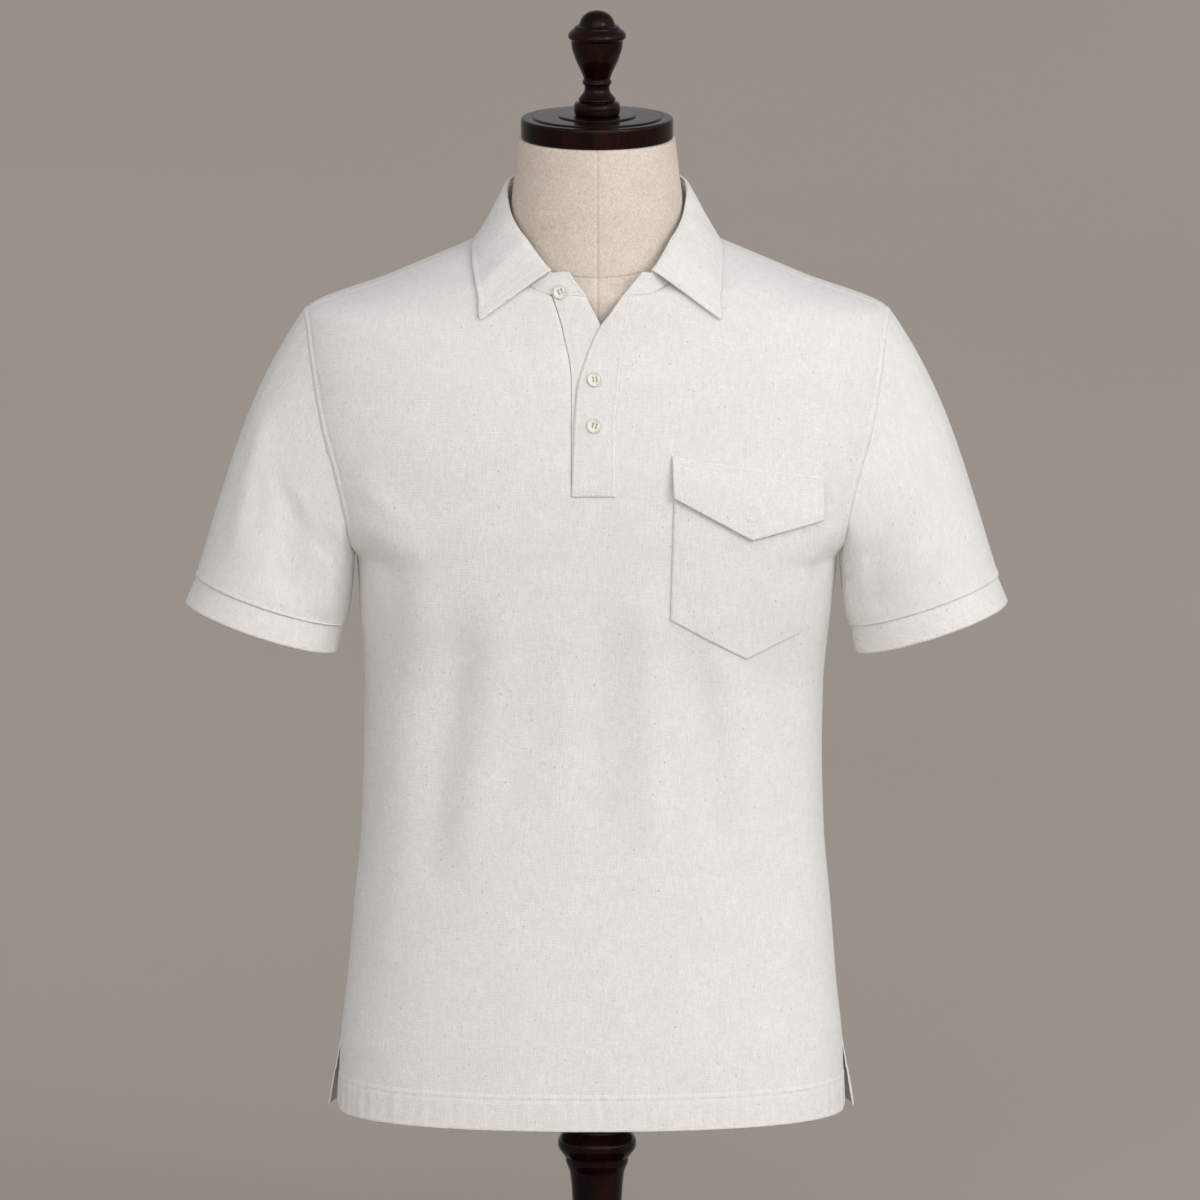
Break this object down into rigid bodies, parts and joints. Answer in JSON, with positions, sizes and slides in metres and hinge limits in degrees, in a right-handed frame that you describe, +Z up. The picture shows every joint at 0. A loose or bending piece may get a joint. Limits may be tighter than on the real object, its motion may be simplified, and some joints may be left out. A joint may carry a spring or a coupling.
{
  "type": "polo shirt on a dress form",
  "caption": "Short-sleeved linen polo shirt with a flapped chest pocket, worn open at the neck on a limbless dress form with a turned wooden finial and stand.",
  "frame": {"origin": "on the floor under the middle of the round foot", "axes": "+Z up, -Y towards the shirt's front, +X towards the wearer's left"},
  "size_m": [0.6406, 0.33, 1.0578],
  "materials": {
    "shirt_linen": "matte slubbed weave",
    "button_shell": "soft gloss",
    "form_cover": "matte linen",
    "dark_wood": "polished dark brown"
  },
  "bodies": {
    "root": {"front": "shirt_linen", "back": "shirt_linen", "sleeve_right": "shirt_linen", "sleeve_left": "shirt_linen", "cuff_right": "shirt_linen", "cuff_left": "shirt_linen", "collar_stand": "shirt_linen", "collar": "shirt_linen", "placket_under": "shirt_linen", "placket_top": "shirt_linen", "pocket": "shirt_linen", "pocket_flap": "shirt_linen", "button_1": "button_shell", "button_2": "button_shell", "button_3": "button_shell", "pocket_button": "button_shell", "form_torso": "form_cover", "neck_cap": "dark_wood", "finial": "dark_wood", "post": "dark_wood", "base": "dark_wood"}
  },
  "joints": []
}
